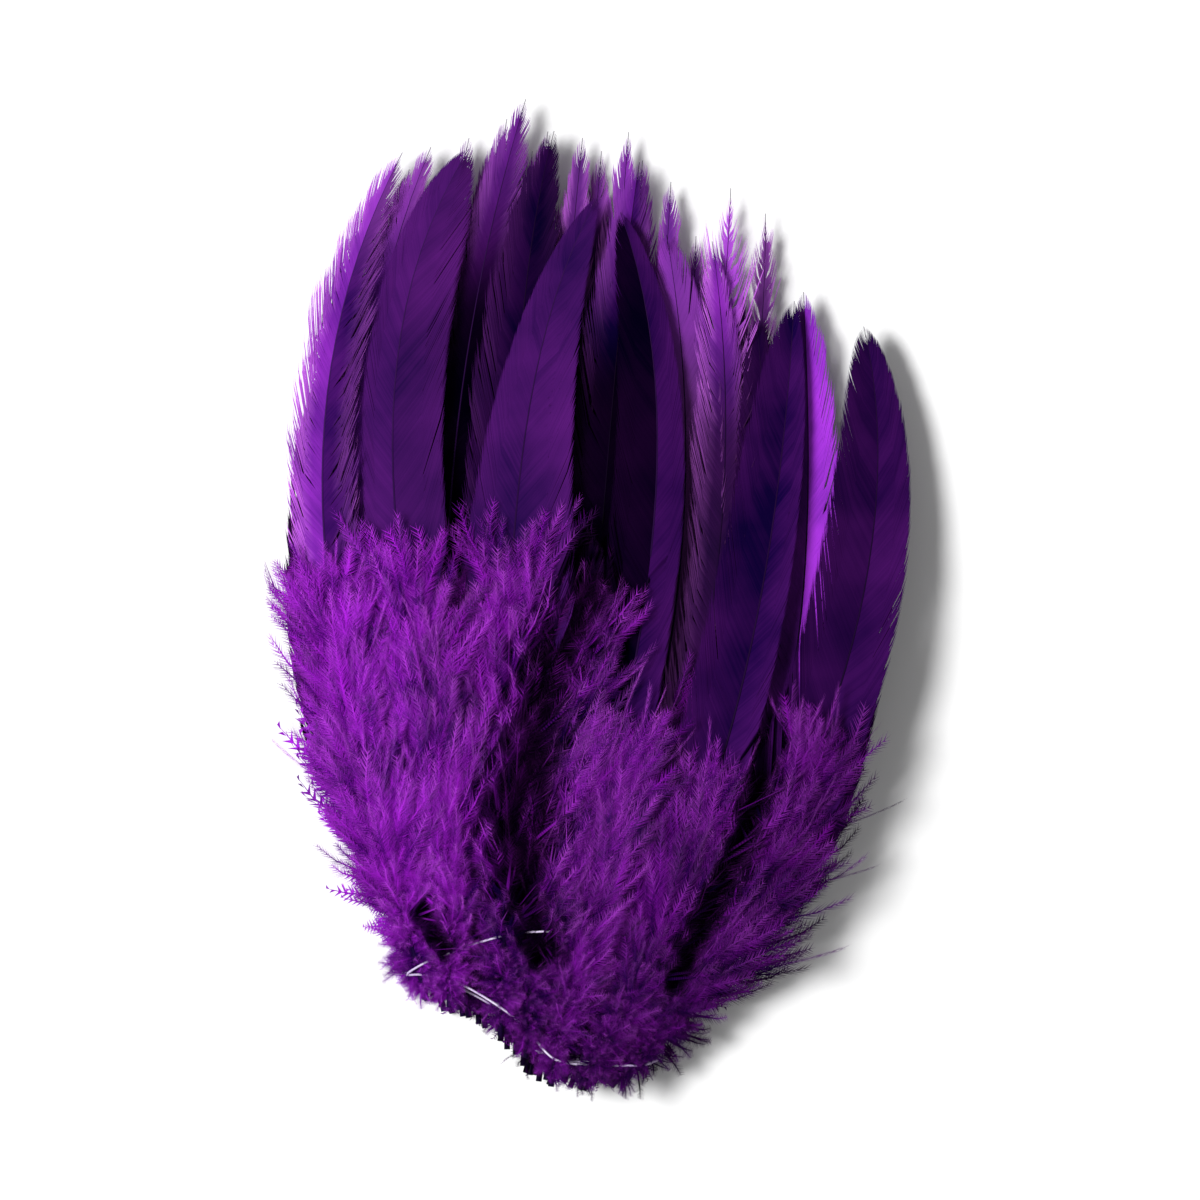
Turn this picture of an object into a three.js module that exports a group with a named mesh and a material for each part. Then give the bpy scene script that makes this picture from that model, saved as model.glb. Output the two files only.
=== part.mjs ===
// A strung bundle of dyed saddle hackle feathers, lying flat.
// One thread strings the feathers side by side through their quills. The strip is folded into five rows,
// and the feathers of each row fan out and lie on each other like roof shingles.
// Millimetres: +X to the right, +Y from the quills to the tips, +Z up from the surface below.
// The origin is on that surface, at the middle of the bundle.
import * as THREE from "three";

// Driving dimensions of one feather
const QUILL_RADIUS = 0.5; // bare shaft at the stitched end
const BARE_QUILL = 6; // length of shaft with no down on it
const DOWN_TEETH = 5; // locks of down on each side of the shaft
const FIRST_DOWN = 1.5; // reach of the shortest down, next to the bare quill
const DOWN_OPENING = 0.26; // how fast the down widens along the shaft
const DOWN_VALLEY = 0.64; // width between two locks, as a share of the lock's reach
const DOWN_HALF_THICK = 1.25;
const FULL_DOWN = 32; // distance from the quill end at which the down has its full thickness
const PEAK_SWEEP = 0.7; // how far a lock's tip runs ahead of the shaft, in steps between rings
const VALLEY_SWEEP = 0.15;
const VANE_HALF_THICK = 0.24;
const TIP_HALF_THICK = 0.1;
const VANE_RINGS = [0.03, 0.2, 0.38, 0.55, 0.7, 0.83, 0.93]; // places along the vane
const BARB_SWEEP = 0.55; // how far a vane's edge runs ahead of its shaft, as a share of its half width

// Driving dimensions of the pile. The rise is the height that one row takes up.
const RISE_AT_STITCHES = 3.3;
const RISE_IN_DOWN = 5.3;
const RISE_IN_VANES = 2.3;
const DOWN_SWELLS = [-74, -38]; // where along Y the rise grows from the stitches to the down
const DOWN_ENDS = [-20, 46]; // and where it shrinks again from the down to the vanes
const DOME = 0.3; // share of the rise that is lost at the pile's two sides
const HALF_BREADTH = 50; // of the pile
const ROLL = 0.045; // share of a row's rise that a feather climbs for each millimetre to its side
const GAP_SAMPLES = 80; // places along a shaft at which its distance to the next one is taken
const CROWDING = 0.66; // share of the room between two rolled feathers that they may fill
const BACK_ROW_CROWDING = 0.42; // half width of a back feather, at most, as a share of the gap to the next
const BACK_ROW_SHARE = 0.36; // share of a row's rise that the flat back row may fill
const QUILL_LIFT = 0.56; // gap below the back row's quills, where the thread passes under them
const LIFT_ENDS = 18; // distance from the quill ends at which the back row is down on the surface

// The plan line on which the quill ends of every row lie. It steps down at the middle.
const STITCHED_EDGE = [
  [-26.5, -64],
  [-20.5, -66.5],
  [-13.5, -71],
  [-8.5, -77],
  [-2, -78.2],
  [5.5, -76],
];
const FAN_BULGE_LOW = 6.5; // how far a row's outer feathers bow out, a third of the way to the tip
const FAN_BULGE_HIGH = 8.5; // and two thirds of the way
const FAN_BLUNTNESS = 3;
const FAN_DOWN_SHARE = 0.47;

// Driving dimensions of the stitching
const THREAD_RADIUS = 0.2;
const THREAD_SIDES = 5;
const THREAD_CLEARANCE = 0.08; // gap between the thread and a quill
const STITCH_HEIGHT = 4.4; // distance of the stitches from the quill ends
const TURN_REACH = 2; // how far the thread swings out where it turns into the next row
const TURN_RISE = 0.5; // how far it climbs there, before and after its next row's first quill
const TAIL_START = [10, -71]; // the end that hangs out of the back row
const TAIL_OVER_DOWN = 2.7; // height of the other end's tail above the front row's shafts
const LOOSE_TAIL = [
  [-26.5, -58],
  [-22.9, -56.7],
  [-15.3, -53.9],
  [-11.4, -53.2],
  [-5.1, -52.9],
];

// One feather in the flat: four points that its shaft passes through at even steps, the half widths
// of its vane and its down, the share of its length that is down, and how blunt its vane's tip is.
function hackle(base, low, high, tip, vane, down, share, bluntness = 1.9) {
  return { base, low, high, tip, vane, down, share, bluntness };
}

// The front row, left to right, with the broad vanes that are seen whole.
const FRONT_ROW = [
  hackle([-26, -64], [-38, -18.5], [-42.4, 25.5], [-30, 70], 5.4, 8, 0.56),
  hackle([-22.5, -65], [-26.5, -20], [-31.5, 26], [-19.5, 70.5], 7.7, 9, 0.56),
  hackle([-14.5, -69.5], [-13.5, -26], [-11, 22], [1, 63], 8.2, 9.5, 0.53, 1.1),
  hackle([-10.5, -73], [-7.5, -40], [-3.5, -13], [0.5, 9.5], 3, 8.5, 0.82),
  hackle([-6.5, -77.5], [2.5, -31.5], [10, 15], [4.5, 60.5], 7.2, 8.5, 0.47),
  hackle([-2, -78], [17, -36.5], [27.5, 5], [32, 46.5], 8, 9, 0.42),
  hackle([3, -77.5], [29.5, -38], [43.5, 4], [43, 42.5], 7.2, 8.5, 0.46),
];

const SECOND_ROW = [
  hackle([-26.5, -63.5], [-38.5, -22], [-42.2, 24.5], [-32, 65.5], 5, 7.5, 0.55),
  hackle([-23.8, -64.5], [-32.5, -20], [-36, 24.5], [-25.5, 71], 5.5, 8.5, 0.5),
  hackle([-19.5, -66.8], [-23, -18], [-21, 29], [-10.5, 78.5], 7.2, 9, 0.47),
  hackle([-14.5, -70.5], [-12.5, -23], [-12, 27.5], [-6, 73.5], 6.8, 9, 0.48),
  hackle([-10.5, -75.5], [-2, -27.5], [2.5, 21.5], [7.5, 68.5], 6.8, 9, 0.5, 3),
  hackle([-6.8, -77.4], [7.5, -31], [14.5, 12], [11.8, 57], 6.3, 8.5, 0.48, 4),
  hackle([-3.5, -77.8], [12.5, -32.5], [20.5, 12], [19, 56], 5.4, 8, 0.47, 4),
  hackle([-0.5, -77.5], [18.5, -35.5], [26.5, 5.5], [26, 44], 5.5, 8, 0.45, 3),
  hackle([2.4, -77], [25, -38.5], [33.5, 2.5], [33.5, 48], 5.8, 8, 0.42, 3),
  hackle([5.4, -76.2], [31.5, -42], [41.5, -7], [46.8, 30], 5.6, 7.5, 0.44, 2.6),
];

// The three rows behind show their tips and little else, so each is fanned by rule.
// Every entry is a tip in plan, and the half width of that feather's vane.
const THIRD_ROW_TIPS = [
  [-37, 52, 5],
  [-29, 67.5, 5.6],
  [-19.5, 72.5, 6.4],
  [-13.5, 75.5, 6.4],
  [-7, 73.5, 6.4],
  [-1.5, 72.5, 6.4],
  [5.8, 73.4, 5.6],
  [12.5, 65.5, 5.4],
  [22, 64.5, 3.6],
  [27.5, 60.5, 2.4],
  [34, 47.5, 5],
  [43, 26, 5.5],
];
const FOURTH_ROW_TIPS = [
  [-40.5, 39.5, 5],
  [-32.5, 57, 5.6],
  [-24, 65.5, 6.4],
  [-16, 71, 6.4],
  [-9.5, 70.5, 6.4],
  [1.5, 70.5, 6.4],
  [8, 69, 6.2],
  [16.5, 57, 6],
  [24, 49, 6],
  [31.5, 42, 5.6],
  [40.5, 16, 6],
];
const BACK_ROW_TIPS = [
  [-41.5, 27.5, 4.2],
  [-34, 50, 4.6],
  [-23, 61.5, 5],
  [-11.5, 66.5, 5],
  [1.5, 65.5, 5],
  [13.5, 54, 5],
  [25, 39.5, 5],
  [36, 18, 4.6],
];

const mix = (a, b, t) => a + (b - a) * t;
const step = THREE.MathUtils.smoothstep;

// The height that one row takes up at a place in the plan.
function rise(x, y) {
  const intoDown = step(y, ...DOWN_SWELLS);
  const intoVanes = step(y, ...DOWN_ENDS);
  const spine =
    RISE_AT_STITCHES +
    (RISE_IN_DOWN - RISE_AT_STITCHES) * intoDown -
    (RISE_IN_DOWN - RISE_IN_VANES) * intoVanes;
  return spine * (1 - DOME * (x / HALF_BREADTH) ** 2);
}

// The quill end at a share (0 to 1) of the stitched edge.
function quillEnd(share) {
  const along = share * (STITCHED_EDGE.length - 1);
  const i = Math.min(Math.floor(along), STITCHED_EDGE.length - 2);
  return [0, 1].map((k) => mix(STITCHED_EDGE[i][k], STITCHED_EDGE[i + 1][k], along - i));
}

// A small repeatable scatter, from -1 to 1, for the natural differences between feathers.
function scatter(n) {
  const wave = Math.sin(n * 12.9898) * 43758.5453;
  return (wave - Math.floor(wave)) * 2 - 1;
}

// A row that is fanned by rule from evenly spaced quills to the given tips.
function fannedRow(tips, seed, down) {
  return tips.map(([tipX, tipY, vane], i) => {
    const tip = [tipX, tipY];
    const place = i / (tips.length - 1);
    const splay = place * 2 - 1;
    const base = quillEnd(place);
    base[1] += 1.1 * scatter(seed + i);
    const between = (share, bulge) => [
      mix(base[0], tip[0], share) + bulge * splay,
      mix(base[1], tip[1], share),
    ];
    const low = between(1 / 3, FAN_BULGE_LOW);
    const high = between(2 / 3, FAN_BULGE_HIGH);
    const share = FAN_DOWN_SHARE + 0.04 * scatter(seed + i + 40);
    return hackle(base, low, high, tip, vane, down, share, FAN_BLUNTNESS);
  });
}

// The shaft's line in plan: one smooth curve through the feather's four points.
function shaftLine({ base, low, high, tip }) {
  const [b, l, h, t] = [base, low, high, tip].map((p) => new THREE.Vector2(...p));
  const blend = (kb, kl, kh, kt) =>
    new THREE.Vector2()
      .addScaledVector(b, kb / 6)
      .addScaledVector(l, kl / 6)
      .addScaledVector(h, kh / 6)
      .addScaledVector(t, kt / 6);
  return new THREE.CubicBezierCurve(b, blend(-5, 18, -9, 2), blend(2, -9, 18, -5), t);
}

// The distance from a point to the nearest neighbouring shaft of its row.
function gapBeside(lines, i, point) {
  const neighbours = [lines[i - 1], lines[i + 1]].filter(Boolean);
  const places = neighbours.flatMap((line) => line.getSpacedPoints(GAP_SAMPLES));
  return Math.min(...places.map((place) => place.distanceTo(point)));
}

// The nominal rings of a feather's loft, from quill to tip: distance along the shaft, half width,
// half thickness, and how far the ring's two edges run ahead of its middle.
function featherRings(feather, length) {
  const rings = [
    { at: 0, half: QUILL_RADIUS, thick: QUILL_RADIUS, ahead: 0 },
    { at: BARE_QUILL, half: QUILL_RADIUS, thick: QUILL_RADIUS, ahead: 0 },
  ];
  const downEnd = feather.share * length;
  const pitch = (downEnd - BARE_QUILL) / (2 * DOWN_TEETH);
  for (let i = 1; i < 2 * DOWN_TEETH; i++) {
    const at = BARE_QUILL + i * pitch;
    const reach = Math.min(feather.down, FIRST_DOWN + DOWN_OPENING * (at - BARE_QUILL));
    const peak = i % 2 === 0;
    const half = peak ? reach : reach * DOWN_VALLEY;
    const thick = mix(QUILL_RADIUS, DOWN_HALF_THICK, step(at, BARE_QUILL, FULL_DOWN));
    rings.push({ at, half, thick, ahead: pitch * (peak ? PEAK_SWEEP : VALLEY_SWEEP) });
  }
  for (const v of VANE_RINGS) {
    const half = feather.vane * (1 - v ** feather.bluntness);
    const thick = mix(VANE_HALF_THICK, TIP_HALF_THICK, v);
    rings.push({ at: mix(downEnd, length, v), half, thick, ahead: BARB_SWEEP * half * (1 - v) });
  }
  return rings;
}

// Closes four-cornered rings, given as one flat list of coordinates that ends with the tip, into a solid.
// Every four-sided patch is split along the line of the barbs, from the shaft ahead to the edge, so that
// the upper and the under skin bend in the same lines and never cross.
function closedLoft(positions) {
  const SIDES = 4;
  const tip = positions.length / 3 - 1;
  const lastRing = tip / SIDES - 1;
  const faces = [0, 3, 1, 1, 3, 2];
  for (let ring = 0; ring <= lastRing; ring++) {
    for (let side = 0; side < SIDES; side++) {
      const here = ring * SIDES + side;
      const beside = ring * SIDES + ((side + 1) % SIDES);
      if (ring === lastRing) {
        faces.push(here, beside, tip);
      } else if (side % 2 === 0) {
        faces.push(here, beside, here + SIDES);
        faces.push(beside, beside + SIDES, here + SIDES);
      } else {
        faces.push(here, beside, beside + SIDES);
        faces.push(here, beside + SIDES, here + SIDES);
      }
    }
  }
  const solid = new THREE.BufferGeometry();
  solid.setAttribute("position", new THREE.Float32BufferAttribute(positions, 3));
  solid.setIndex(faces);
  solid.computeVertexNormals();
  return solid;
}

// One feather of a row: diamond rings of left edge, top, right edge and underside, lofted to the tip.
// level is the row's place in the pile. The back row, at level 0, lies flat on the surface, side by side.
// In the other rows every feather is rolled to lie on its neighbour, and is thinner where they crowd.
function featherSolid(row, lines, i, level, roll) {
  const line = lines[i];
  const length = line.getLength();
  const positions = [];
  const heightAt = (point, side) => rise(point.x, point.y) * (level + roll * side);
  for (const { at, half: fullHalf, thick: fullThick, ahead } of featherRings(row[i], length)) {
    const middle = line.getPointAt(at / length);
    const along = line.getTangentAt(at / length);
    const across = new THREE.Vector2(along.y, -along.x);
    const gap = gapBeside(lines, i, middle);
    const room = rise(middle.x, middle.y);
    const half = level === 0 ? Math.min(fullHalf, BACK_ROW_CROWDING * gap) : fullHalf;
    const [left, right] = [-half, half].map((side) =>
      middle.clone().addScaledVector(along, ahead).addScaledVector(across, side),
    );
    if (level === 0) {
      const lift = QUILL_LIFT * (1 - step(at, BARE_QUILL, LIFT_ENDS));
      const top = lift + Math.min(2 * fullThick, BACK_ROW_SHARE * room);
      const edge = lift + (at <= BARE_QUILL ? fullThick : 0);
      positions.push(left.x, left.y, edge, middle.x, middle.y, top);
      positions.push(right.x, right.y, edge, middle.x, middle.y, lift);
    } else {
      const shared = Math.max(2 - gap / half, 1);
      const thick = Math.min(fullThick, (CROWDING * ROLL * room * gap) / shared);
      const centre = heightAt(middle, 0);
      positions.push(left.x, left.y, heightAt(left, -half), middle.x, middle.y, centre + thick);
      positions.push(right.x, right.y, heightAt(right, half), middle.x, middle.y, centre - thick);
    }
  }
  const tip = line.getPointAt(1);
  positions.push(tip.x, tip.y, level * rise(tip.x, tip.y));
  return closedLoft(positions);
}

// The one thread that strings the strip: over one quill and under the next, out and round into each next row,
// and at the end back over the down of the front row as a loose tail.
function threadSolid(rows) {
  const reach = QUILL_RADIUS + THREAD_RADIUS + THREAD_CLEARANCE;
  const points = [];
  rows.forEach(({ feathers }, level) => {
    const rightToLeft = level % 2 === 0;
    const stitches = feathers.map((feather, i) => {
      const line = shaftLine(feather);
      const at = line.getPointAt(STITCH_HEIGHT / line.getLength());
      const quill = level === 0 ? QUILL_LIFT + QUILL_RADIUS : rise(at.x, at.y) * level;
      return new THREE.Vector3(at.x, at.y, quill + (i % 2 === 0 ? reach : -reach));
    });
    if (rightToLeft) stitches.reverse();
    const [first, last] = [stitches[0], stitches.at(-1)];
    const outwards = rightToLeft ? TURN_REACH : -TURN_REACH;
    const arrives = new THREE.Vector3(first.x + outwards, first.y, first.z - TURN_RISE);
    const leaves = new THREE.Vector3(last.x - outwards, last.y, last.z + TURN_RISE);
    if (level === 0) arrives.set(...TAIL_START, first.z);
    points.push(arrives, ...stitches, leaves);
  });
  for (const [x, y] of LOOSE_TAIL) {
    points.push(new THREE.Vector3(x, y, rise(x, y) * (rows.length - 1) + TAIL_OVER_DOWN));
  }
  const section = new THREE.Shape();
  for (let i = 0; i < THREAD_SIDES; i++) {
    const turn = (i / THREAD_SIDES) * 2 * Math.PI;
    const corner = [THREAD_RADIUS * Math.cos(turn), THREAD_RADIUS * Math.sin(turn)];
    if (i === 0) section.moveTo(...corner);
    else section.lineTo(...corner);
  }
  section.closePath();
  return new THREE.ExtrudeGeometry(section, {
    steps: 3 * points.length,
    curveSegments: 1,
    extrudePath: new THREE.CatmullRomCurve3(points, false, "centripetal"),
  });
}

const dyedHackle = new THREE.MeshStandardMaterial({
  color: 0x4a1470,
  roughness: 0.6,
  metalness: 0,
});
const whiteThread = new THREE.MeshStandardMaterial({
  color: 0xd8cfe0,
  roughness: 0.5,
  metalness: 0,
});

// The rows from the surface up. Each second row's feathers roll the other way.
const ROWS = [
  { name: "back_row", feathers: fannedRow(BACK_ROW_TIPS, 11, 5) },
  { name: "fourth_row", feathers: fannedRow(FOURTH_ROW_TIPS, 23, 8.5) },
  { name: "third_row", feathers: fannedRow(THIRD_ROW_TIPS, 37, 8.5) },
  { name: "second_row", feathers: SECOND_ROW },
  { name: "front_row", feathers: FRONT_ROW },
];

const bundle = new THREE.Group();
ROWS.forEach(({ name, feathers }, level) => {
  const roll = level % 2 === 0 ? ROLL : -ROLL;
  const lines = feathers.map(shaftLine);
  feathers.forEach((feather, i) => {
    const mesh = new THREE.Mesh(featherSolid(feathers, lines, i, level, roll), dyedHackle);
    mesh.name = `${name}_feather_${i + 1}`;
    bundle.add(mesh);
  });
});
const thread = new THREE.Mesh(threadSolid(ROWS), whiteThread);
thread.name = "stringing_thread";
bundle.add(thread);

export default bundle;
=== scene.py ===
# %% [markdown]
# # A strung bundle of dyed saddle hackle feathers
# Forty-eight long feathers, dyed purple, are strung on one thread and lie in a flat, folded pile.
# Each feather has a quill, soft down on its lower half and a smooth vane on its upper half.
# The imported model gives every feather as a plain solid. This lesson grows the real plumage in the place
# of each solid: thousands of barbs and plumes, made by one rule in Geometry Nodes.

# %% Load the frame
import math

import bpy
import numpy as np
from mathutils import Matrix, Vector


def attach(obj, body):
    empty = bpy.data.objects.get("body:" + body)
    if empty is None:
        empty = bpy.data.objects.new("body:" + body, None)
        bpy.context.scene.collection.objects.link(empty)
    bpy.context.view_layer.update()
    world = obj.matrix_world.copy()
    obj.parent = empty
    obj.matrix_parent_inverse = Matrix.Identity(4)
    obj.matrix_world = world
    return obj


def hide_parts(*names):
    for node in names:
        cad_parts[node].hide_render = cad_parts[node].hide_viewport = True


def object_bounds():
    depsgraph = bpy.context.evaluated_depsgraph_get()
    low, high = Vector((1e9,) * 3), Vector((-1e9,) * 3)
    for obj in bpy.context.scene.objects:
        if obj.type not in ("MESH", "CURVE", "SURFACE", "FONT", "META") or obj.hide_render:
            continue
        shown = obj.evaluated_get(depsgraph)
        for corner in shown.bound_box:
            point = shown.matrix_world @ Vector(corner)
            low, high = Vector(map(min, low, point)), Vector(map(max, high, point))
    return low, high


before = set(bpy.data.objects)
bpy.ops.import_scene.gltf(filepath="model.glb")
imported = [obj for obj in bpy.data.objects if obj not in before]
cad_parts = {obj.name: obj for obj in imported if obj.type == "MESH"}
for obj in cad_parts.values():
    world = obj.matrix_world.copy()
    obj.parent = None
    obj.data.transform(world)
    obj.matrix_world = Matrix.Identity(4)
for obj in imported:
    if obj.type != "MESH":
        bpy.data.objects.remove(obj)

MM = 0.001
cad_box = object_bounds()
print("the frame has", len(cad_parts), "nodes")

# %% [markdown]
# ## Camera, surface and light
# The bundle lies on a white surface and is seen straight from above, from far away, so that nothing
# leans outwards. A long lens does that. One large lamp stands at the left, about 63 degrees above the
# surface, and its soft shadow falls to the right. The white surroundings fill the shadows a little.
# The view transform is the plain one, because it keeps white paper white and the dye saturated.

# %% Camera
PHOTO_SPAN = 189.6 * MM  # width of surface that the square picture takes in
PHOTO_CENTRE = (1.26 * MM, -0.79 * MM)
CAMERA_DISTANCE = 1.5
FOCUS_HEIGHT = 10 * MM
SENSOR = 36

camera_data = bpy.data.cameras.new("camera")
camera_data.sensor_width = SENSOR
camera_data.lens = SENSOR * CAMERA_DISTANCE / PHOTO_SPAN
camera = bpy.data.objects.new("camera", camera_data)
camera.location = (*PHOTO_CENTRE, CAMERA_DISTANCE + FOCUS_HEIGHT)
bpy.context.scene.collection.objects.link(camera)
bpy.context.scene.camera = camera
bpy.context.scene.view_settings.view_transform = "Standard"
print("lens", round(camera_data.lens), "mm")

# %% Surface and lamps
FLOOR_HALF = 3.0
KEY_FROM = Vector((-0.8, 0.04, 1.6)).normalized()
KEY_DISTANCE = 1.4
KEY_SIZE = 0.42
KEY_POWER = 22.0
FILL_STRENGTH = 0.3
WHITE = (1, 1, 1, 1)
PAPER_WHITE = (0.9, 0.9, 0.9, 1)
PAPER_ROUGHNESS = 0.9

floor_mesh = bpy.data.meshes.new("floor")
corners = [(x * FLOOR_HALF, y * FLOOR_HALF, 0) for x, y in ((-1, -1), (1, -1), (1, 1), (-1, 1))]
floor_mesh.from_pydata(corners, [], [(0, 1, 2, 3)])
floor = bpy.data.objects.new("floor", floor_mesh)
bpy.context.scene.collection.objects.link(floor)

paper = bpy.data.materials.new("white paper")
paper.use_nodes = True
paper_inputs = paper.node_tree.nodes["Principled BSDF"].inputs
paper_inputs["Base Color"].default_value = PAPER_WHITE
paper_inputs["Roughness"].default_value = PAPER_ROUGHNESS
floor_mesh.materials.append(paper)

lamp_data = bpy.data.lights.new("key lamp", "AREA")
lamp_data.shape = "DISK"
lamp_data.size = KEY_SIZE
lamp_data.energy = KEY_POWER
lamp = bpy.data.objects.new("key lamp", lamp_data)
lamp.location = KEY_FROM * KEY_DISTANCE
lamp.rotation_euler = KEY_FROM.to_track_quat("Z", "Y").to_euler()
bpy.context.scene.collection.objects.link(lamp)

world = bpy.data.worlds.new("white room")
world.use_nodes = True
room_inputs = world.node_tree.nodes["Background"].inputs
room_inputs["Color"].default_value = WHITE
room_inputs["Strength"].default_value = FILL_STRENGTH
bpy.context.scene.world = world

# %% [markdown]
# ## The feathers' sizes and places
# Every feather is given in plan by four points that its shaft passes through, from the quill's end to
# the tip. With them go the half widths of its vane and of its down, the share of its length that is
# down, and how blunt its vane ends. These are the values that the solids were built from, in millimetres.

# %% Sizes of one feather
QUILL_RADIUS = 0.5 * MM
BARE_QUILL = 6 * MM  # length of quill below the first down
DOWN_OPENING = 0.26  # how fast the down widens along the shaft
BARB_SWEEP = 0.55  # how far a vane's edge runs ahead of its shaft, as a share of its half width


def hackle(base, low, high, tip, vane, down, share, bluntness=1.9):
    """One feather in the flat. Lengths are given in millimetres and kept in metres."""
    line = [np.array(point) * MM for point in (base, low, high, tip)]
    return {"line": line, "vane": vane * MM, "down": down * MM, "share": share, "bluntness": bluntness}


FRONT_ROW = [
    hackle((-26, -64), (-38, -18.5), (-42.4, 25.5), (-30, 70), 5.4, 8, 0.56),
    hackle((-22.5, -65), (-26.5, -20), (-31.5, 26), (-19.5, 70.5), 7.7, 9, 0.56),
    hackle((-14.5, -69.5), (-13.5, -26), (-11, 22), (1, 63), 8.2, 9.5, 0.53, 1.1),
    hackle((-10.5, -73), (-7.5, -40), (-3.5, -13), (0.5, 9.5), 3, 8.5, 0.82),
    hackle((-6.5, -77.5), (2.5, -31.5), (10, 15), (4.5, 60.5), 7.2, 8.5, 0.47),
    hackle((-2, -78), (17, -36.5), (27.5, 5), (32, 46.5), 8, 9, 0.42),
    hackle((3, -77.5), (29.5, -38), (43.5, 4), (43, 42.5), 7.2, 8.5, 0.46),
]
SECOND_ROW = [
    hackle((-26.5, -63.5), (-38.5, -22), (-42.2, 24.5), (-32, 65.5), 5, 7.5, 0.55),
    hackle((-23.8, -64.5), (-32.5, -20), (-36, 24.5), (-25.5, 71), 5.5, 8.5, 0.5),
    hackle((-19.5, -66.8), (-23, -18), (-21, 29), (-10.5, 78.5), 7.2, 9, 0.47),
    hackle((-14.5, -70.5), (-12.5, -23), (-12, 27.5), (-6, 73.5), 6.8, 9, 0.48),
    hackle((-10.5, -75.5), (-2, -27.5), (2.5, 21.5), (7.5, 68.5), 6.8, 9, 0.5, 3),
    hackle((-6.8, -77.4), (7.5, -31), (14.5, 12), (11.8, 57), 6.3, 8.5, 0.48, 4),
    hackle((-3.5, -77.8), (12.5, -32.5), (20.5, 12), (19, 56), 5.4, 8, 0.47, 4),
    hackle((-0.5, -77.5), (18.5, -35.5), (26.5, 5.5), (26, 44), 5.5, 8, 0.45, 3),
    hackle((2.4, -77), (25, -38.5), (33.5, 2.5), (33.5, 48), 5.8, 8, 0.42, 3),
    hackle((5.4, -76.2), (31.5, -42), (41.5, -7), (46.8, 30), 5.6, 7.5, 0.44, 2.6),
]
print(len(FRONT_ROW) + len(SECOND_ROW), "feathers are placed one by one")

# %% [markdown]
# The three rows behind show little more than their tips. They are fanned by a rule: the quills
# stand at even steps along the stitched edge, and the outer feathers bow outwards. A small repeatable
# scatter keeps them from looking ruled. Each tip has its place in plan and the half width of the vane.

# %% The fanned rows
THIRD_ROW_TIPS = [
    (-37, 52, 5), (-29, 67.5, 5.6), (-19.5, 72.5, 6.4), (-13.5, 75.5, 6.4),
    (-7, 73.5, 6.4), (-1.5, 72.5, 6.4), (5.8, 73.4, 5.6), (12.5, 65.5, 5.4),
    (22, 64.5, 3.6), (27.5, 60.5, 2.4), (34, 47.5, 5), (43, 26, 5.5),
]
FOURTH_ROW_TIPS = [
    (-40.5, 39.5, 5), (-32.5, 57, 5.6), (-24, 65.5, 6.4), (-16, 71, 6.4),
    (-9.5, 70.5, 6.4), (1.5, 70.5, 6.4), (8, 69, 6.2), (16.5, 57, 6),
    (24, 49, 6), (31.5, 42, 5.6), (40.5, 16, 6),
]
BACK_ROW_TIPS = [
    (-41.5, 27.5, 4.2), (-34, 50, 4.6), (-23, 61.5, 5), (-11.5, 66.5, 5),
    (1.5, 65.5, 5), (13.5, 54, 5), (25, 39.5, 5), (36, 18, 4.6),
]
STITCHED_EDGE = [(-26.5, -64), (-20.5, -66.5), (-13.5, -71), (-8.5, -77), (-2, -78.2), (5.5, -76)]
FAN_BULGE = (6.5, 8.5)  # how far a row's outer feathers bow out, one and two thirds of the way to the tip
FAN_BLUNTNESS = 3
FAN_DOWN_SHARE = 0.47
QUILL_SCATTER = 1.1
SHARE_SCATTER = 0.04


def scatter(n):
    """A small repeatable scatter, from -1 to 1."""
    wave = math.sin(n * 12.9898) * 43758.5453
    return (wave - math.floor(wave)) * 2 - 1


def quill_end(share):
    """The quill end at a share of the stitched edge."""
    places = np.linspace(0, 1, len(STITCHED_EDGE))
    return np.array([np.interp(share, places, axis) for axis in zip(*STITCHED_EDGE)])


def fanned_row(tips, seed, down):
    """A row of feathers from evenly spaced quills to the given tips."""
    row = []
    for i, (tip_x, tip_y, vane) in enumerate(tips):
        place = i / (len(tips) - 1)
        splay = place * 2 - 1
        base = quill_end(place) + (0, QUILL_SCATTER * scatter(seed + i))
        tip = np.array((tip_x, tip_y))
        low, high = (
            base + (tip - base) * (k + 1) / 3 + (bulge * splay, 0) for k, bulge in enumerate(FAN_BULGE)
        )
        share = FAN_DOWN_SHARE + SHARE_SCATTER * scatter(seed + i + 40)
        row.append(hackle(base, low, high, tip, vane, down, share, FAN_BLUNTNESS))
    return row


THIRD_ROW = fanned_row(THIRD_ROW_TIPS, 37, 8.5)
FOURTH_ROW = fanned_row(FOURTH_ROW_TIPS, 23, 8.5)
BACK_ROW = fanned_row(BACK_ROW_TIPS, 11, 5)
print(len(THIRD_ROW) + len(FOURTH_ROW) + len(BACK_ROW), "feathers are fanned by rule")

# %% [markdown]
# ## The pile
# A feather is grown straight and then laid in its place. Its shaft's line is one smooth curve, and its
# height comes from the pile: every row lies one rise above the row below it, and the rise is largest in
# the down. Along a few valleys the down parts and the pile sinks. Each feather is also rolled a little, so
# that it lies on its neighbour like a roof shingle. All of this is plain arithmetic on the points, so
# it's done with arrays rather than with nodes.

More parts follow.
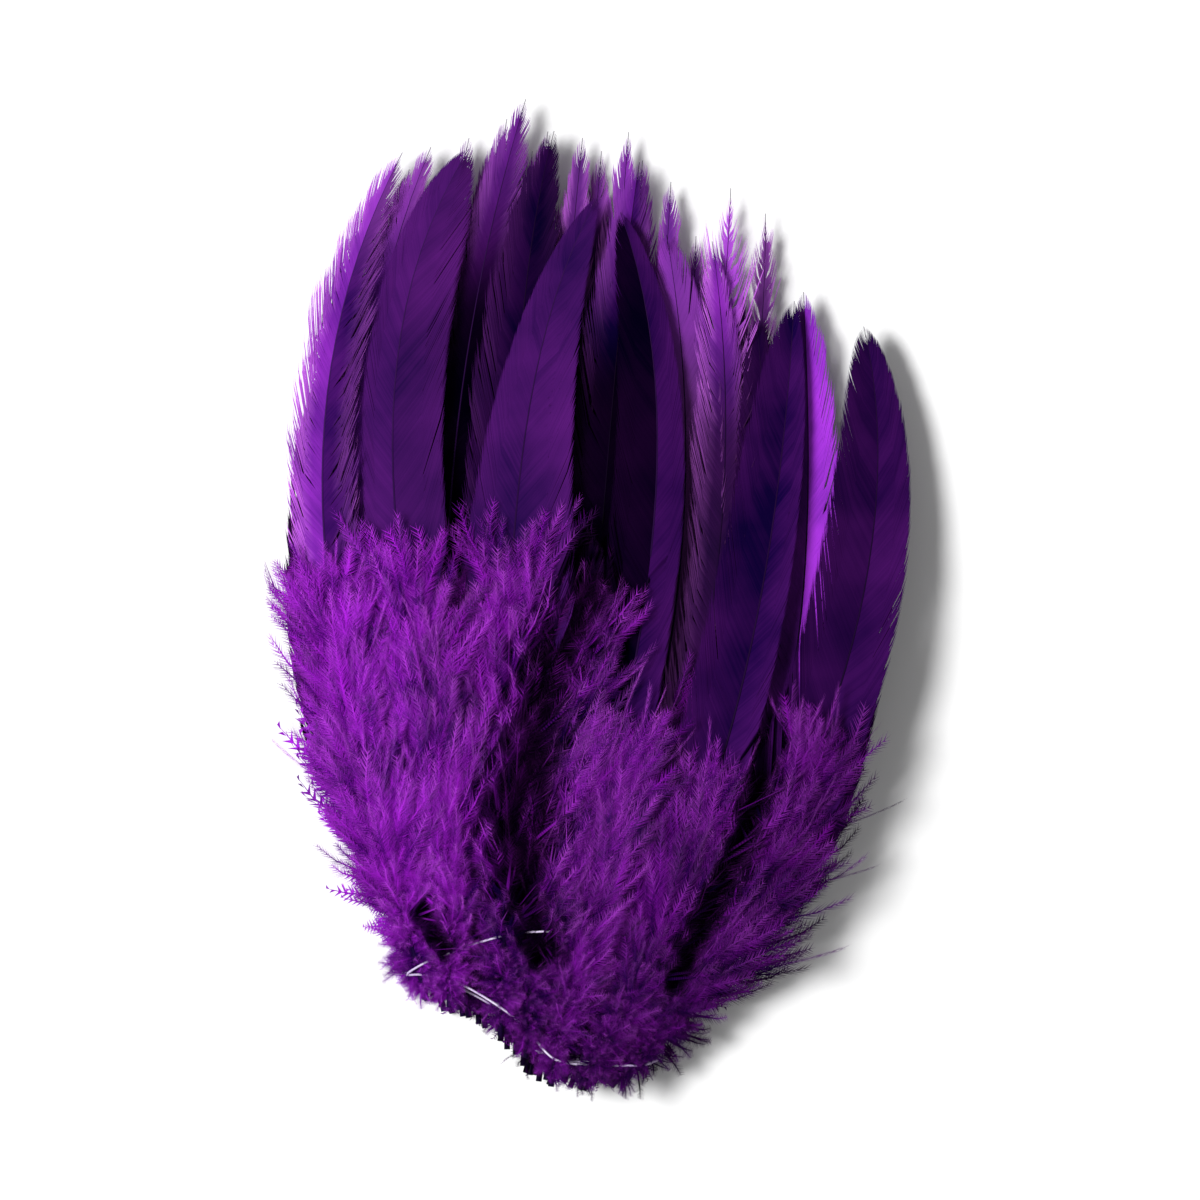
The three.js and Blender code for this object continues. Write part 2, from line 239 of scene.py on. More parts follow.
# %% Heights in the pile
RISE_AT_STITCHES = 3.3 * MM
RISE_IN_DOWN = 5.3 * MM
RISE_IN_VANES = 2.3 * MM
DOWN_SWELLS = (-74 * MM, -38 * MM)
DOWN_ENDS = (-20 * MM, 46 * MM)
VALLEYS = [  # half widths, and lines in plan, in millimetres, along which the down parts
    (6.5, [(1, 4), (-6.5, -11), (-9, -24), (-12.5, -33), (-11, -43)]),
    (4.2, [(-8, -24), (-7.5, -36), (-10.5, -46), (-7.5, -56)]),
    (2.9, [(28.5, -23), (24.5, -37), (19, -49), (13.5, -61)]),
    (2.0, [(-26.5, -49.5), (-23, -55.5)]),
]
VALLEY_BOTTOM = 0.2  # share of its half width over which a valley is at its deepest
VALLEY_BENDS = (1300, 900)  # waves that make its edges uneven, across and along the bundle
VALLEY_WAVER = 0.4  # height of those waves, as a share of a valley's half width
VALLEY_SINK = 0.3  # share of its height that the pile loses there
DOME = 0.3  # share of the rise that is lost at the pile's two sides
HALF_BREADTH = 50 * MM
ROLL = 0.045 / MM  # share of a row's rise that a feather climbs for each metre to its side
BACK_ROW_SHARE = 0.36  # share of a row's rise that the flat back row fills
QUILL_LIFT = 0.56 * MM
LIFT_ENDS = 18 * MM
FLOOR_GAP = 0.05 * MM
TOP_OF_PILE = cad_box[1][2] - 0.8 * MM  # plumes that stand above this are pressed down
PRESSED_DOWN = 1.4 * MM


def smooth_step(value, low, high):
    t = np.clip((value - low) / (high - low), 0, 1)
    return t * t * (3 - 2 * t)


def valley_depth(x, y, widened=0):
    """How deep a place lies in the valleys of the down: 1 at the bottom, and 0 outside."""
    depth = 0.0
    uneven = 1 + VALLEY_WAVER * np.sin(x * VALLEY_BENDS[0]) * np.sin(y * VALLEY_BENDS[1])
    for half_width, line in VALLEYS:
        corners = np.array(line) * MM
        for start, end in zip(corners, corners[1:]):
            run_x, run_y = end - start
            share = ((x - start[0]) * run_x + (y - start[1]) * run_y) / (run_x**2 + run_y**2)
            share = np.clip(share, 0, 1)
            off_x, off_y = x - start[0] - share * run_x, y - start[1] - share * run_y
            away = np.hypot(off_x, off_y) / (half_width * MM)
            depth = np.maximum(depth, 1 - smooth_step(away * uneven - widened, VALLEY_BOTTOM, 1))
    return depth


def rise(x, y):
    """The height that one row takes up at a place in the plan."""
    into_down = smooth_step(y, *DOWN_SWELLS)
    into_vanes = smooth_step(y, *DOWN_ENDS)
    spine = RISE_AT_STITCHES + (RISE_IN_DOWN - RISE_AT_STITCHES) * into_down
    spine = spine - (RISE_IN_DOWN - RISE_IN_VANES) * into_vanes
    return spine * (1 - DOME * (x / HALF_BREADTH) ** 2) * (1 - VALLEY_SINK * valley_depth(x, y))


# %% Laying a straight feather on its shaft's line
LINE_STEPS = 241
SIDE_LIMIT = 50 * MM  # beyond this, plumage is pressed in, so that it stays close to the solids
PRESSED_IN = 2.2 * MM


def shaft_line(feather):
    """Places along the shaft in plan, and their distances from the quill's end."""
    b, l, h, t = feather["line"]
    handle_low = (-5 * b + 18 * l - 9 * h + 2 * t) / 6
    handle_high = (2 * b - 9 * l + 18 * h - 5 * t) / 6
    u = np.linspace(0, 1, LINE_STEPS)[:, None]
    v = 1 - u
    places = v**3 * b + 3 * v**2 * u * handle_low + 3 * v * u**2 * handle_high + u**3 * t
    steps = np.linalg.norm(np.diff(places, axis=0), axis=1)
    return places, np.concatenate([[0], np.cumsum(steps)])


def press(values, limit, room):
    """Draws values beyond a limit in, the more the further out they are, to within a room beyond it."""
    beyond = np.maximum(values - limit, 0)
    return np.where(beyond > 0, limit + room * (1 - np.exp(-beyond / room)), values)


def lay(points, feather, level):
    """Bends points of a straight feather (side, along, height) onto its shaft's line and into its row."""
    places, distances = shaft_line(feather)
    side, along, height = points.T
    inside = np.clip(along, 0, distances[-1])
    heading = np.gradient(places, distances, axis=0)
    x, y = (np.interp(inside, distances, axis) for axis in places.T)
    head_x, head_y = (np.interp(inside, distances, axis) for axis in heading.T)
    beyond = along - inside
    x, y = x + head_x * beyond + head_y * side, y + head_y * beyond - head_x * side
    room = rise(x, y)
    if level == 0:
        lift = QUILL_LIFT * (1 - smooth_step(along, BARE_QUILL, LIFT_ENDS))
        z = lift + room * BACK_ROW_SHARE / 2 + height
    else:
        roll = ROLL if level % 2 == 0 else -ROLL
        z = room * (level + roll * side) + height
    x = np.sign(x) * press(np.abs(x), SIDE_LIMIT, PRESSED_IN)
    z = np.maximum(press(z, TOP_OF_PILE, PRESSED_DOWN), FLOOR_GAP)
    return np.stack([x, y, z], axis=1)


print("the top of the pile is", round(TOP_OF_PILE / MM, 1), "mm up")

# %% [markdown]
# ## Writing rules as node formulas
# Geometry Nodes can work out a place for every point, but a formula of thirty Math nodes is hard to
# write by hand. This small helper turns an ordinary sum in Python into Math nodes, so that the
# rules below stay readable.

# %% Node helpers
SOCKET_KINDS = {bool: "Bool", int: "Int", float: "Float", tuple: "Color"}


def feed(tree, slot, value):
    """Links a formula or a node's first output to an input, or sets the input to a plain value."""
    if isinstance(value, Formula):
        value = value.socket
    if isinstance(value, bpy.types.Node):
        value = value.outputs[0]
    if isinstance(value, bpy.types.NodeSocket):
        tree.links.new(value, slot)
    else:
        slot.default_value = value


def add_node(tree, kind, inputs=None, **settings):
    """A new node. Its inputs are named, or counted where two have the same name."""
    node = tree.nodes.new(kind)
    for setting, value in settings.items():
        setattr(node, setting, value)
    for key, value in (inputs or {}).items():
        named = (slot for slot in node.inputs if slot.name == key and slot.enabled)
        feed(tree, node.inputs[key] if isinstance(key, int) else next(named), value)
    return node


class Formula:
    """A number in a node tree. Arithmetic on it adds Math nodes."""

    def __init__(self, tree, source):
        self.tree = tree
        self.socket = source.outputs[0] if isinstance(source, bpy.types.Node) else source

    def math(self, operation, *others):
        values = dict(enumerate((self, *others)))
        return Formula(self.tree, add_node(self.tree, "ShaderNodeMath", values, operation=operation))

    def __add__(self, other):
        return self.math("ADD", other)

    def __sub__(self, other):
        return self.math("SUBTRACT", other)

    def __mul__(self, other):
        return self.math("MULTIPLY", other)

    def __truediv__(self, other):
        return self.math("DIVIDE", other)

    def __pow__(self, other):
        return self.math("POWER", other)

    def __rsub__(self, other):
        return self * -1 + other

    __radd__ = __add__
    __rmul__ = __mul__


def combine(tree, x, y, z):
    return add_node(tree, "ShaderNodeCombineXYZ", {0: x, 1: y, 2: z})


def vector_math(tree, operation, *vectors, scale=None):
    inputs = dict(enumerate(vectors))
    if scale is not None:
        inputs[3] = scale
    return add_node(tree, "ShaderNodeVectorMath", inputs, operation=operation)


def open_sockets(tree, values, in_out="INPUT"):
    """Gives a tree named inputs or outputs, each of the kind that its value has."""
    for label, value in values.items():
        kind = "NodeSocket" + SOCKET_KINDS[type(value)]
        tree.interface.new_socket(name=label, in_out=in_out, socket_type=kind).default_value = value


def inputs_of(tree):
    """The inputs of a tree as formulas, by name."""
    sockets = tree.nodes.new("NodeGroupInput").outputs
    return {socket.name: Formula(tree, socket) for socket in sockets if socket.name}


def growing_tree(name, values):
    """A new tree that takes and gives geometry, and its inputs as formulas."""
    tree = bpy.data.node_groups.new(name, "GeometryNodeTree")
    for in_out in ("INPUT", "OUTPUT"):
        tree.interface.new_socket(name="Geometry", in_out=in_out, socket_type="NodeSocketGeometry")
    open_sockets(tree, values)
    return tree, inputs_of(tree)


# %% [markdown]
# ## Two unit shapes
# A vane is made of hundreds of barbs, and the down of hundreds of small plumes. Both are drawn once, in
# numbers from 0 to 1, and the rules then stretch each copy to its own size. Along X runs the share of the
# way from root to tip, Y goes across, and Z goes up. The barb is a slim closed blade with a ridge. The
# plume is a feather in small: its dense middle is one closed leaf, and only the free ends of its barbules
# are drawn one by one, because they make its soft edge.

# %% Unit barb and unit plume
BARB_RINGS = (0, 0.45, 0.88)  # places of the rings of a barb, which are all of full width
LEAF_RINGS = ((0, 0.05), (0.25, 0.16), (0.68, 0.09))  # place and half width of a plume's closed middle
LEAF_CREST = 0.5  # height of its ridge, as a share of its half width
BARBULES = 30  # on each side of a plume that is seen from near
FEW_BARBULES = 8  # on each side of one that is nearly hidden
BARBULE_ROOT = 0.45  # width of a barbule's root, as a share of the step to the next one
BARBULE_SWEEP = 0.14  # how far a barbule runs ahead, as a share of the plume's length
BARBULE_FLUTTER = 0.4
BARBULE_PLACES = (0.04, 0.88)  # place of the first barbule, and the span that all of them take up
SHORT_BARBULES = (0.35, 0.3)  # length of the lowest ones, and the place from which they are full


def ridged_needle(rings, crest=1):
    """Points and faces of a closed, three-sided needle from (place, half width) rings to a tip at 1."""
    section = ((-1, 0), (0, crest), (1, 0))
    points = [(place, y * half, z * half) for place, half in rings for y, z in section]
    tip = len(points)
    faces = [(0, 1, 2)]
    for a in range(0, tip - 3, 3):
        faces += [(a, a + 3, a + 4, a + 1), (a + 1, a + 4, a + 5, a + 2), (a + 2, a + 5, a + 3, a)]
    faces += [(tip - 3, tip, tip - 2), (tip - 2, tip, tip - 1), (tip - 1, tip, tip - 3)]
    return points + [(1, 0, 0)], faces


def helper_object(name, points, faces):
    mesh = bpy.data.meshes.new(name)
    mesh.from_pydata(points, [], faces)
    return bpy.data.objects.new(name, mesh)


def plume_shape(barbules):
    """A slim leaf with free barbules at its two edges, which are longest in the lower middle."""
    draw = np.random.default_rng(4)
    points, faces = ridged_needle(LEAF_RINGS, LEAF_CREST)
    width = BARBULE_ROOT / barbules
    shortest, full_from = SHORT_BARBULES
    for side in (-1, 1):
        for i in range(barbules):
            root = BARBULE_PLACES[0] + BARBULE_PLACES[1] * (i + draw.uniform(0, 1)) / barbules
            fullness = shortest + (1 - shortest) * min(1, root / full_from)
            spread = fullness * (1 - root**3) ** 0.5 * draw.uniform(0.75, 1.2)
            height = draw.uniform(-1, 1) * BARBULE_FLUTTER * spread
            tip = (root + BARBULE_SWEEP * spread, side * spread, height)
            first = len(points)
            points += [(root, 0, 0), (root + width, 0, 0), tip]
            faces.append((first, first + 1, first + 2) if side > 0 else (first + 1, first, first + 2))
    return points, faces


unit_barb = helper_object("unit_barb", *ridged_needle([(place, 1) for place in BARB_RINGS]))
fine_plume = helper_object("fine_plume", *plume_shape(BARBULES))
plain_plume = helper_object("plain_plume", *plume_shape(FEW_BARBULES))
helpers = (unit_barb, fine_plume, plain_plume)
print("faces of the barb and the two plumes:", [len(helper.data.polygons) for helper in helpers])

# %% [markdown]
# ## Dye
# Dyed hackle is never one colour. The dye takes more or less on each barb, and it looks lighter
# where barbs stand alone and let light through. All materials of the bundle use one node group for this.
# It mixes a deep and a bright colour by the barb's own shade and by soft patches over the feather, and
# scales the mix by a tone that also carries painted light and shade. Towards the ends of frayed barbs it
# turns to a pale colour, which is painted light shining through them; the same pale colour gives the
# painted sheen over some vanes and the painted light through their tips. On plumes it also draws the
# barbules as fine slanted stripes.


# %% Dye node group
def linear(red, green, blue):
    """A colour that is written with the usual 0 to 255 steps, as the light values that shaders take."""
    steps = (value / 255 for value in (red, green, blue))
    return (*(c / 12.92 if c <= 0.04045 else ((c + 0.055) / 1.055) ** 2.4 for c in steps), 1)


def attribute(tree, name):
    return Formula(tree, add_node(tree, "ShaderNodeAttribute", attribute_name=name).outputs["Fac"])


def mix_colours(tree, factor, a, b):
    node = add_node(tree, "ShaderNodeMix", {"Factor": factor, "A": a, "B": b}, data_type="RGBA")
    return next(out for out in node.outputs if out.enabled)


STRIPES = 38  # barbules that show as fine stripes on the middle of a plume
STRIPE_SHIFT = 50  # stripes by which a plume's shade moves them, so that no two plumes match
TONE_TURN = 0.25  # how far a higher tone also turns the mix to the bright colour
HIGHEST_TONE_TURN = 2.0  # tone above which it turns no further
FADING = (0.6, 0.8)  # of a frayed barb's painted light through its end: the least, and how much its shade adds


def uneven_dye_group():
    """Colour of dyed barbs, with painted light and shade, from the attributes shade, reach, across, tone,
    fray and the painted sheen.
    """
    tree = bpy.data.node_groups.new("uneven dye", "ShaderNodeTree")
    usual = {
        "Deep Colour": linear(30, 6, 60),
        "Bright Colour": linear(120, 30, 160),
        "Pale Colour": linear(220, 160, 230),
        "Patch Scale": 90.0,
        "Patch Amount": 1.0,
        "Strand Amount": 0.0,
        "Reach Amount": 0.0,
        "Stripe Amount": 0.0,
        "Paleness": 0.0,
        "Pale Start": 0.5,
    }
    open_sockets(tree, usual)
    open_sockets(tree, {"Colour": WHITE, "Depth": 0.0, "Relief": 0.0}, "OUTPUT")
    given = inputs_of(tree)
    place = add_node(tree, "ShaderNodeTexCoord").outputs["Object"]
    patchy = {"Vector": place, "Scale": given["Patch Scale"], "Detail": 3.0}
    shade, reach, tone = (attribute(tree, name) for name in ("shade", "reach", "tone"))
    patch = (Formula(tree, add_node(tree, "ShaderNodeTexNoise", patchy)) - 0.5) * given["Patch Amount"]
    strand = (shade - 0.5) * given["Strand Amount"]
    along = (reach - 0.5) * given["Reach Amount"]
    stripe_phase = (reach - attribute(tree, "across") * BARBULE_SWEEP) * STRIPES + shade * STRIPE_SHIFT
    relief = (stripe_phase * (2 * math.pi)).math("SINE") * given["Stripe Amount"]
    turn = (tone.math("MINIMUM", HIGHEST_TONE_TURN) - 1) * TONE_TURN
    mixed = patch + strand + along + relief / 2 + turn + 0.5
    depth = mixed.math("MAXIMUM", 0.0).math("MINIMUM", 1.0)
    colour = mix_colours(tree, depth, given["Deep Colour"], given["Bright Colour"])
    toned = vector_math(tree, "SCALE", colour, scale=tone)
    # Painted light: the ends of frayed barbs turn pale as if light shone through them, and the painted sheen
    # and tip glow add to it.
    pale_at = add_node(tree, "ShaderNodeMapRange", {"Value": reach, "From Min": given["Pale Start"]})
    loose = attribute(tree, "fray") * (shade * FADING[1] + FADING[0])
    faded = Formula(tree, pale_at) * given["Paleness"] * loose * tone.math("MINIMUM", 1.0)
    veiled = (faded + attribute(tree, "veil")).math("MINIMUM", 1.0)
    result = mix_colours(tree, veiled, toned, given["Pale Colour"])
    add_node(tree, "NodeGroupOutput", {"Colour": result, "Depth": depth, "Relief": relief})
    return tree


uneven_dye = uneven_dye_group()
print("the dye group has", len(uneven_dye.nodes), "nodes")


# %% Plumage materials
ROUGH_BRIGHTS = 0.15  # how much rougher the bright parts are than the deep ones
SHEEN_ROUGHNESS = 0.4
GRAIN_STRENGTH = 0.5


def plumage_material(
    name, roughness, grain_scale, grain_depth, gloss=0.0, sheen=0.0, sheen_tint=WHITE, **dye
):
    """A dyed material: the dye's colour, a roughness that follows it, soft sheen and a fine grain."""
    material = bpy.data.materials.new(name)
    material.use_nodes = True
    tree = material.node_tree
    group = add_node(tree, "ShaderNodeGroup", node_tree=uneven_dye)
    for key, value in dye.items():
        group.inputs[key.replace("_", " ").title()].default_value = value
    place = add_node(tree, "ShaderNodeTexCoord").outputs["Object"]
    grain = add_node(tree, "ShaderNodeTexNoise", {"Vector": place, "Scale": grain_scale, "Detail": 2.0})
    relief = Formula(tree, group.outputs["Relief"]) + Formula(tree, grain)
    bumpy = {"Height": relief, "Strength": GRAIN_STRENGTH, "Distance": grain_depth}
    surface = {
        "Base Color": group.outputs["Colour"],
        "Roughness": Formula(tree, group.outputs["Depth"]) * ROUGH_BRIGHTS + roughness,
        "Specular IOR Level": gloss,
        "Sheen Weight": sheen,
        "Sheen Roughness": SHEEN_ROUGHNESS,
        "Sheen Tint": sheen_tint,
        "Normal": add_node(tree, "ShaderNodeBump", bumpy),
    }
    for label, value in surface.items():
        feed(tree, tree.nodes["Principled BSDF"].inputs[label], value)
    return material


vane_dye = plumage_material(
    "dyed vane",
    roughness=0.5,
    grain_scale=2500.0,
    grain_depth=0.02 * MM,
    deep_colour=linear(22, 4, 66),
    bright_colour=linear(92, 26, 122),
    pale_colour=linear(206, 110, 230),
    patch_scale=50.0,
    patch_amount=2.0,
    strand_amount=0.3,
    reach_amount=0.2,
    paleness=1.0,
    pale_start=0.25,
)
down_dye = plumage_material(
    "dyed down",
    roughness=0.6,
    grain_scale=3000.0,
    grain_depth=0.02 * MM,
    sheen=0.06,
    sheen_tint=linear(214, 110, 255),
    deep_colour=linear(28, 2, 72),
    bright_colour=linear(142, 26, 180),
    pale_colour=linear(216, 110, 236),
    patch_scale=110.0,
    patch_amount=1.5,
    strand_amount=1.3,
    # darker plume roots and lighter ends: painted shade deep in the down and painted light through the thin
    # ends
    reach_amount=0.6,
    stripe_amount=0.7,
    paleness=0.5,
)
shaft_dye = plumage_material(
    "dyed quill",
    roughness=0.45,
    grain_scale=900.0,
    grain_depth=0.01 * MM,
    gloss=0.02,
    deep_colour=linear(26, 6, 54),
    bright_colour=linear(70, 26, 100),
    pale_colour=linear(110, 60, 140),
    patch_scale=200.0,
    patch_amount=0.8,
    reach_amount=0.8,
    paleness=0.15,
    pale_start=0.3,
)

# %% [markdown]
# ## The saddle feather tree
# One tree grows any of the feathers, straight, from named sizes. It has three branches: the shaft, the
# barbs of the vane, and the plumes of the down. The barbs and plumes are copies of the unit shapes, made
# real at once, and then every point is set to its place by a formula. Copies that are only turned and
# stretched would be simpler, but neighbouring barbs could not lean together into the little splits that a
# real vane has.

# %% Copies of a unit shape
SEED_STRIDE = 7.31  # distance between the smooth random curves of two seeds
SIDE_STRIDE = 19.7  # and between those of the two sides


def store(tree, geometry, kind="FLOAT", domain="POINT", **values):
    """The geometry with each value stored under its name."""
    for name, value in values.items():
        inputs = {"Geometry": geometry, "Name": name, "Value": value}
        geometry = add_node(
            tree, "GeometryNodeStoreNamedAttribute", inputs, data_type=kind, domain=domain
        )
    return geometry


def strand_copies(tree, count, unit):
    """Real copies of a unit shape. Each copy's number is in the attribute strand."""
    line = add_node(tree, "GeometryNodeMeshLine", {"Count": count, "Offset": (0, 0, 0)})
    shape = add_node(tree, "GeometryNodeObjectInfo", {"Object": unit}).outputs["Geometry"]
    copies = add_node(tree, "GeometryNodeInstanceOnPoints", {"Points": line, "Instance": shape})
    numbered = store(tree, copies, "INT", "INSTANCE", strand=add_node(tree, "GeometryNodeInputIndex"))
    return add_node(tree, "GeometryNodeRealizeInstances", {"Geometry": numbered})


def made_of(tree, geometry, material):
    return add_node(tree, "GeometryNodeSetMaterial", {"Geometry": geometry, "Material": material})


def bowed(t, slope):
    """Goes from 0 to 1 while t does, and starts with the given slope."""
    return t * slope - t * t * (slope - 1)


class Strand:
    """What a formula may use about the strand that a point belongs to."""

    def __init__(self, tree, seed):
        number = add_node(tree, "GeometryNodeInputNamedAttribute", {"Name": "strand"}, data_type="INT")
        position = add_node(tree, "GeometryNodeInputPosition")
        split = add_node(tree, "ShaderNodeSeparateXYZ", {0: position})
        self.tree = tree
        self.seed = seed
        self.number = Formula(tree, number)
        self.reach, self.across, self.crest = (Formula(tree, out) for out in split.outputs)
        self.side = self.number.math("FLOORED_MODULO", 2.0) * 2 - 1
        self.pair = (self.number / 2).math("FLOOR")

    def chance(self, low, high, channel, of=None):
        """A random value for each strand, or for each group of strands that of tells apart."""
        inputs = {2: low, 3: high, "ID": of or self.number, "Seed": self.seed + channel}
        node = add_node(self.tree, "FunctionNodeRandomValue", inputs, data_type="FLOAT")
        return Formula(self.tree, node.outputs[1])

    def drift(self, place, frequency, channel):
        """A smooth random curve from about -1 to 1 along place."""
        along = place * frequency + self.seed * SEED_STRIDE + self.side * SIDE_STRIDE + channel
        inputs = {"W": along, "Scale": 1.0, "Detail": 1.0}
        noise = add_node(self.tree, "ShaderNodeTexNoise", inputs, noise_dimensions="1D")
        return (Formula(self.tree, noise) - 0.5) * 3


# %% [markdown]
# ### Barbs of the vane
# The barbs leave the shaft in pairs and bend forward. A barb's tip lies on the outline of the vane, which
# narrows towards the feather's tip, and its root lies further back on the shaft. Neighbouring barbs hold
# together in small groups, and each group's ends lean to its middle. How much they lean, and how ragged
# the groups are, is the looseness of the vane. Near the vane's tip the barbs stand closer together.

# %% Barb branch
BARBS_IN_A_GROUP = 9
GROUP_DRIFT = 6  # barbs by which the ends of the groups vary
BARB_RUN = (2.0, 0.7)  # how far a barb runs forward in shares of its half width, and more near the tip
TIP_RUN = 1.6 * MM  # the part of that run which doesn't depend on the width, near the tip
BARB_BOW = (1.6, 0.6)  # slopes with which a barb starts sideways and forward
VANE_UNDERLAP = 0.9  # how far the vane starts below the end of the down, as a share of its half width
TIP_CLOSENESS = 0.6  # 0 where the barbs stand evenly, and nearly 1 where they crowd at the vane's tip
BLADE_OVERLAP = 2.2  # width of a barb as a multiple of the step to the next one
WIDEST_BLADE = 0.16  # greatest width of a barb, as a share of its run
TIP_OVERLAP = 2.5  # how much wider its root is at the vane's tip, where the roots stand further apart
OPENED = 0.75  # share of its width that a barb of a loose vane loses towards its end
BLADE_SLANT = 0.6  # how much a barb's edges stand apart sideways where a closed vane narrows
SLANT_ENDS = 0.4  # share of the half width below which they come together again
SLANT_LOSS = 1.3  # how fast looseness takes this slant away
LEAN = (0.02, 0.5)  # of a group's barbs to its middle: in any vane, and more in a loose one
UNEVEN = (0.03, 0.35)  # how uneven the barbs' lengths are: in any vane, and more in a loose one
RAGGED = 0.3  # how uneven the groups' lengths are in a loose vane
RIDGE_HEIGHT = 0.035 * MM
SHINGLE = 0.03 * MM
WAVES = (0.3 * MM, 0.25 * MM)  # heights of long waves in the vane, and of short ones in a loose vane
TIP_ROUNDING = 0.6  # below 1, the vane's tip is rounder
LEAST_EDGE = 0.001  # so that the attribute edge is never 0 on a barb, and is 0 on all the rest
VANE_CUP = 1.1 * MM  # height of a vane's edges above its shaft


def barb_branch(tree, size):
    barbs = strand_copies(tree, size["Barb Pairs"] * 2, unit_barb)
    strand = Strand(tree, size["Seed"])
    t = strand.reach
    looseness = size["Looseness"]
    vane_start = size["Length"] * size["Down Share"] - size["Vane Half Width"] * VANE_UNDERLAP
    vane_length = size["Length"] - vane_start
    u = (strand.pair + 0.5) / size["Barb Pairs"]
    v = bowed(u, TIP_CLOSENESS + 1)
    step = vane_length / size["Barb Pairs"] * (1 + TIP_CLOSENESS - u * TIP_CLOSENESS * 2)

    drifted = (strand.pair + strand.drift(v, 14.0, 3.0) * GROUP_DRIFT) / BARBS_IN_A_GROUP
    group = drifted.math("FLOOR")
    in_group = drifted.math("FRACT") - 0.5
    of_group = group * 2 + strand.side
    lean = strand.chance(0.1, 1.0, 5, of_group) * (looseness * LEAN[1] + LEAN[0])
    ragged = strand.chance(-1.0, 0.4, 6, of_group) * looseness * RAGGED * (v + 0.3)
    uneven = strand.chance(-1.0, 0.5, 7) * (looseness * UNEVEN[1] + UNEVEN[0])

    outline = (1 - v ** size["Bluntness"]) ** TIP_ROUNDING
    wide = (strand.side + 1) / 2 * (size["Right Spread"] - size["Left Spread"]) + size["Left Spread"]
    half = size["Vane Half Width"] * outline * wide
    reach = half * (ragged + uneven + 1)
    run = half * (v * BARB_RUN[1] + BARB_RUN[0]) + v * TIP_RUN
    tip_along = vane_start + vane_length * v + half * (1 - v) * BARB_SWEEP
    root_along = tip_along - run

    lateral = reach * bowed(t, BARB_BOW[0])
    gathered = in_group * lean * step * (-BARBS_IN_A_GROUP) * t * t
    crowded = (1 - outline) * (1 - t) * TIP_OVERLAP + 1
    opened = looseness.math("MINIMUM", 1.0) * t * OPENED
    blade = (step * BLADE_OVERLAP * (1 - opened) * crowded).math("MINIMUM", run * WIDEST_BLADE)
    along = root_along + run * bowed(t, BARB_BOW[1]) * (ragged + 1) + gathered + strand.across * blade / 2
    edge = lateral / size["Vane Half Width"]
    narrowing = (1 - outline) * (outline * (1 / SLANT_ENDS)).math("MINIMUM", 1.0)
    closed = (1 - looseness * SLANT_LOSS).math("MAXIMUM", 0.0) * BLADE_SLANT
    slanted = lateral - strand.across * blade / 2 * narrowing * t * closed
    wave = strand.drift(v, 5.0, 11.0) * WAVES[0] + strand.drift(v, 60.0, 13.0) * looseness * WAVES[1]
    height = edge * edge * VANE_CUP + wave * edge + strand.across * SHINGLE + strand.crest * RIDGE_HEIGHT
    place = combine(tree, slanted * strand.side, along, height)

    stored = store(
        tree,
        barbs,
        shade=strand.chance(0.0, 1.0, 8) * 0.5 + strand.chance(0.0, 1.0, 9, of_group) * 0.5,
        reach=t,
        edge=(edge + LEAST_EDGE) * strand.side,
        fray=looseness * looseness * strand.chance(0.4, 1.3, 10, of_group),
    )
    placed = add_node(tree, "GeometryNodeSetPosition", {"Geometry": stored, "Position": place})
    left = strand.side.math("LESS_THAN", 0.0)
    turned = add_node(tree, "GeometryNodeFlipFaces", {"Mesh": placed, "Selection": left})
    return made_of(tree, turned, vane_dye)


# %% [markdown]
# ### Plumes of the down
# Down has no flat side: its plumes stand round the shaft, some up, some down and most to the two sides.
# Each follows a curved path that starts outwards and bends forward. Near the quill the plumes are short and
# stand in all directions, some of them backwards over the quill. A few plumes that stand together share
# most of their direction, and make one tuft. Between the tufts there are dark hollows.

# %% Plume branch
PLUMES_IN_A_TUFT = 9
TUFT_SHARE = 0.5  # how much of its direction a plume shares with its tuft
FIRST_PLUME = 1.9 * MM  # distance of the first plume from the quill's end
LAST_PLUME = 0.8  # distance of the last plume from the end of the down, as a share of the down's reach
CROWDING = 1.2  # above 1, plumes stand closer together near the quill
PLUME_RUN = (-0.3, 1.35)  # how far a plume runs forward, as shares of its reach, at the quill and above
BASE_ENDS = 22 * MM  # distance from the first plume at which the plumes have their full run
HIGHEST_TURN = 2.5  # of a plume round the shaft, in radians from its side. Above 1.6 it crosses over
PLUME_THICKNESS = 2.7 * MM  # height of the fullest plumes above and below the shaft
FULL_REACH = 8.5 * MM
LOWEST_REACH = 2.8 * MM
BARBULE_LENGTH = 1.5 * MM
LEAST_BARBULE = 0.4  # length of the barbules on the smallest plumes, as a share of that
STRAY_RARITY = 14  # the higher, the fewer plumes stray out of the down
STRAY_REACH = 0.5  # how much further such a plume reaches, as a share of the down's reach
STRAY_BARENESS = 0.9  # share of their length that its barbules lose
PLUME_BOW = (1.55, 0.62, 1.8)  # slopes with which a plume starts sideways, forward and up
PLUME_SEEDS = 50  # is added to a feather's seed for its plumes
AHEAD = 0.02  # step along a plume that shows which way it runs


